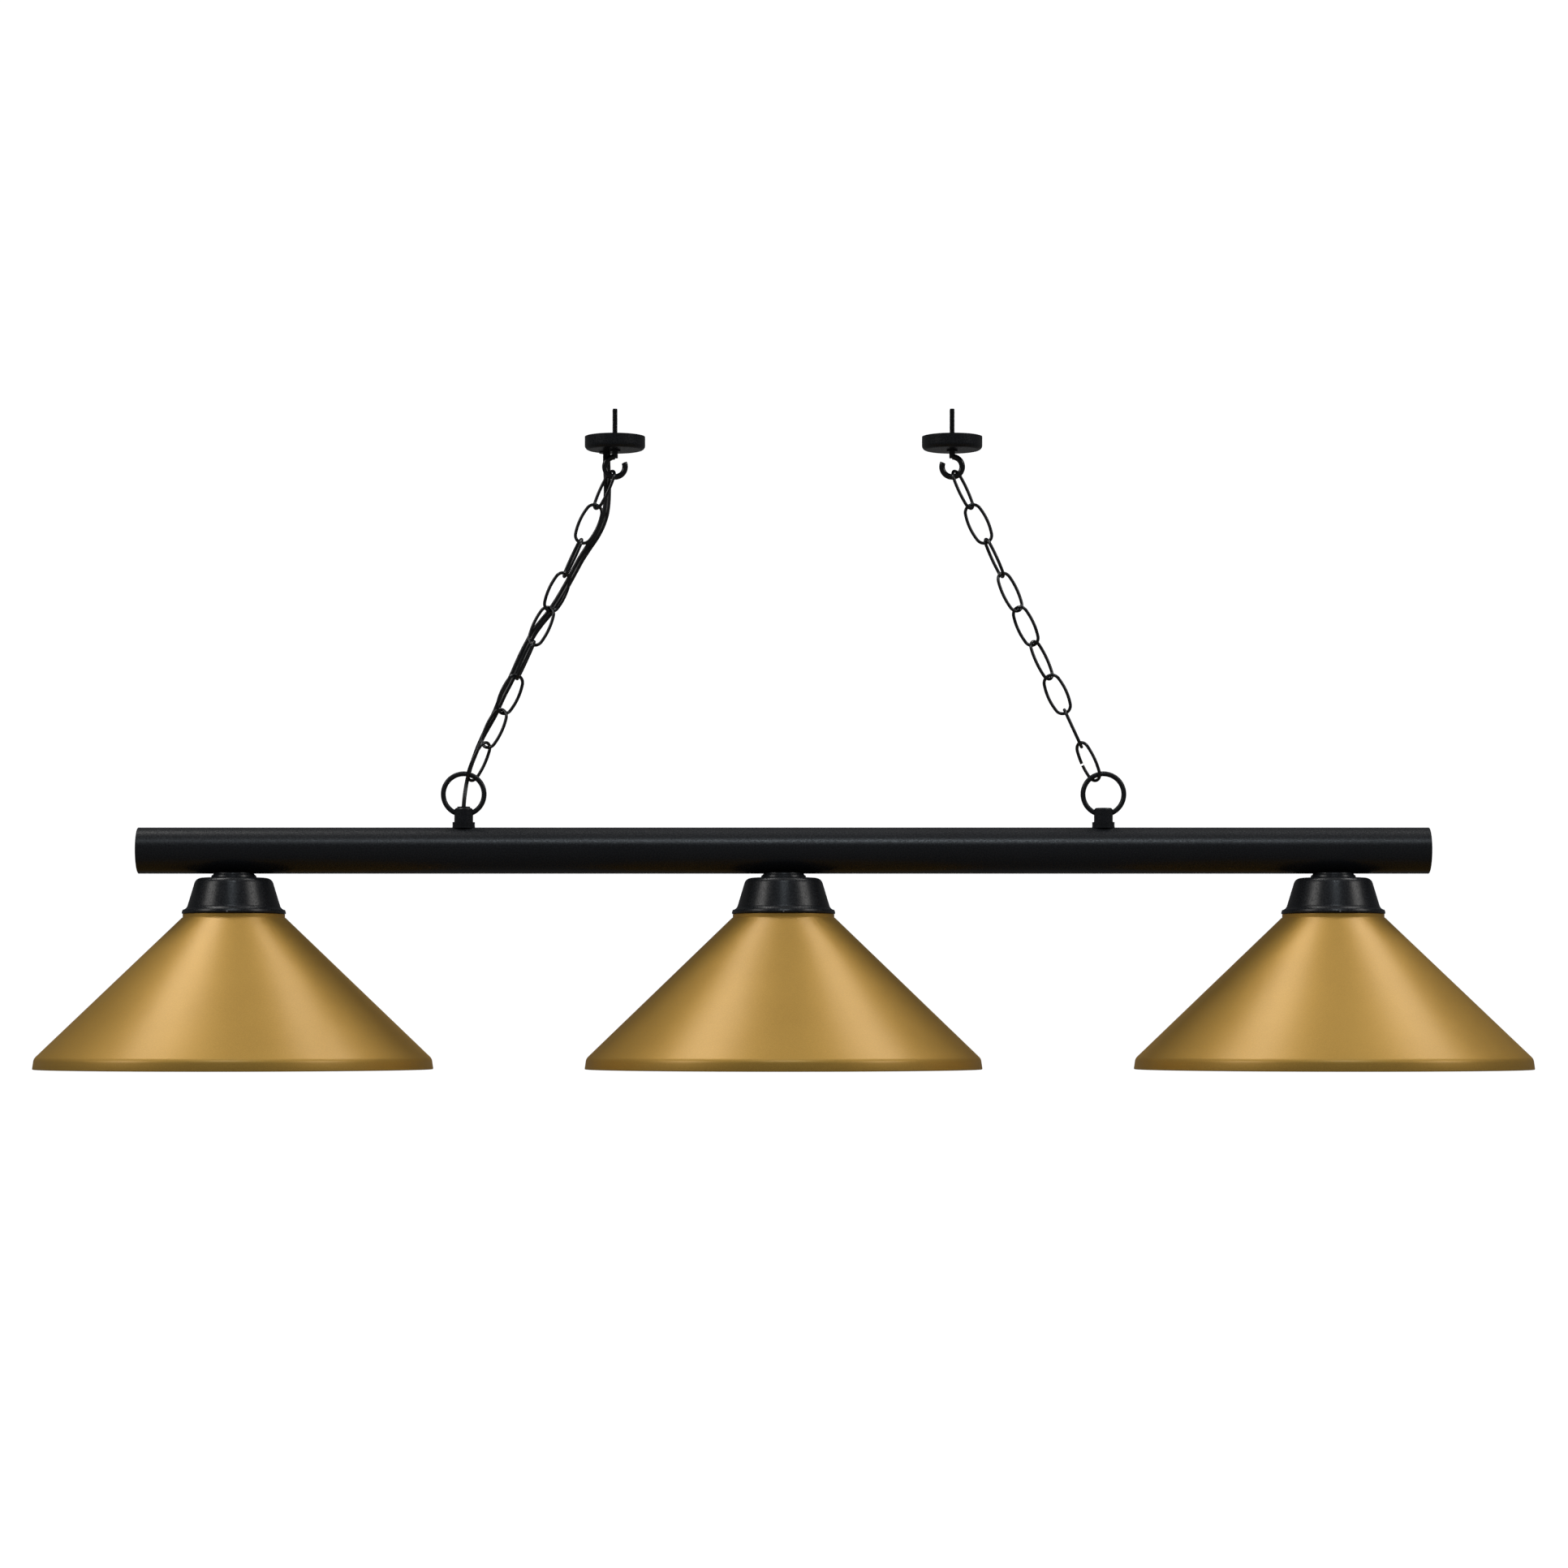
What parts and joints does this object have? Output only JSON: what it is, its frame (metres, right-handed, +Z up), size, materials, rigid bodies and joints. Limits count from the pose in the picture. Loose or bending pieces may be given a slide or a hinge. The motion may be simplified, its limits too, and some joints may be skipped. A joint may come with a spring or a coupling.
{
  "type": "pool table lamp",
  "caption": "Hanging pool table lamp: a straight black bar on two converging chains, with wide conical metal shades over screw-in bulbs",
  "frame": {"origin": "on the ceiling plane, midway between the two ceiling studs", "axes": "+X along the bar, towards the end away from the cord; +Y to the back; +Z up into the ceiling"},
  "size_m": [1.3386, 0.3554, 0.5906],
  "materials": {
    "black_powder": "fine-textured matte powder coat",
    "cap_black": "moulded plastic with a glossy lip",
    "black_enamel": "satin enamel",
    "gold_paint": "satin gold paint with a fine metallic grain",
    "zinc": "zinc plated",
    "phenolic": "moulded phenolic",
    "brass": "bright pressed brass",
    "frosted_glass": "frosted white",
    "bulb_cap": "rolled thread",
    "cord_jacket": "soft satin jacket",
    "wire_black": "insulation",
    "wire_white": "insulation",
    "nut_yellow": "moulded"
  },
  "bodies": {
    "ceiling": {"ceiling_plate_left": "black_powder", "ceiling_plate_right": "black_powder", "hook_left": "black_enamel", "hook_right": "black_enamel", "hook_nuts": "zinc", "cord_grommet": "cord_jacket"},
    "top_links": {"link_left_9": "black_enamel", "link_right_9": "black_enamel"},
    "chain_left": {"link_left_2": "black_enamel", "link_left_3": "black_enamel", "link_left_4": "black_enamel", "link_left_5": "black_enamel", "link_left_6": "black_enamel", "link_left_7": "black_enamel", "link_left_8": "black_enamel", "power_cord": "cord_jacket"},
    "chain_right": {"link_right_2": "black_enamel", "link_right_3": "black_enamel", "link_right_4": "black_enamel", "link_right_5": "black_enamel", "link_right_6": "black_enamel", "link_right_7": "black_enamel", "link_right_8": "black_enamel"},
    "connecting_links": {"link_left_1": "black_enamel", "link_right_1": "black_enamel"},
    "lamp": {"cord_bushing": "cord_jacket", "bar_tube": "black_powder", "end_cap_left": "cap_black", "end_cap_right": "cap_black", "loop_left": "black_powder", "loop_right": "black_powder", "loop_nipples": "zinc", "loop_nuts": "zinc", "loop_lock_rings": "black_powder", "seat_rings": "black_powder", "holder_left": "black_powder", "holder_centre": "black_powder", "holder_right": "black_powder", "socket_left": "phenolic", "socket_centre": "phenolic", "socket_right": "phenolic", "screw_shell_left": "brass", "screw_shell_centre": "brass", "screw_shell_right": "brass", "shade_left": "gold_paint", "shade_centre": "gold_paint", "shade_right": "gold_paint", "bulb_glass_left": "frosted_glass", "bulb_glass_centre": "frosted_glass", "bulb_glass_right": "frosted_glass", "bulb_base_left": "bulb_cap", "bulb_base_centre": "bulb_cap", "bulb_base_right": "bulb_cap", "holder_nipples": "zinc", "nipple_nuts": "zinc", "shade_rings": "phenolic", "socket_contacts": "brass", "leads_black": "wire_black", "leads_white": "wire_white", "wire_nuts": "nut_yellow"}
  },
  "joints": [
    {"name": "swing", "type": "hinge", "parent": "ceiling", "child": "top_links", "pos_m": [0, 0, -0.035], "axis": [1, 0, 0], "range_deg": [-20, 20]},
    {"name": "sway", "type": "hinge", "parent": "top_links", "child": "connecting_links", "pos_m": [0, 0, 0.29936], "axis": [0, 1, 0], "range_deg": [-2, 2]},
    {"name": "chain_left_lean", "type": "hinge", "parent": "top_links", "child": "chain_left", "pos_m": [-0.16727, 0, -0.06264], "axis": [0, 1, 0], "range_deg": [-5.42, 5.42], "deforming": ["power_cord"]},
    {"name": "chain_right_lean", "type": "hinge", "parent": "top_links", "child": "chain_right", "pos_m": [0.16727, 0, -0.06264], "axis": [0, 1, 0], "range_deg": [-5.42, 5.42]},
    {"name": "rock", "type": "hinge", "parent": "connecting_links", "child": "lamp", "pos_m": [0, 0, -0.30303], "axis": [1, 0, 0], "range_deg": [-20, 20]}
  ],
  "couplings": [
    {"joint": "chain_left_lean", "follows": "sway", "ratio": 2.6998},
    {"joint": "chain_right_lean", "follows": "sway", "ratio": 2.6998}
  ]
}
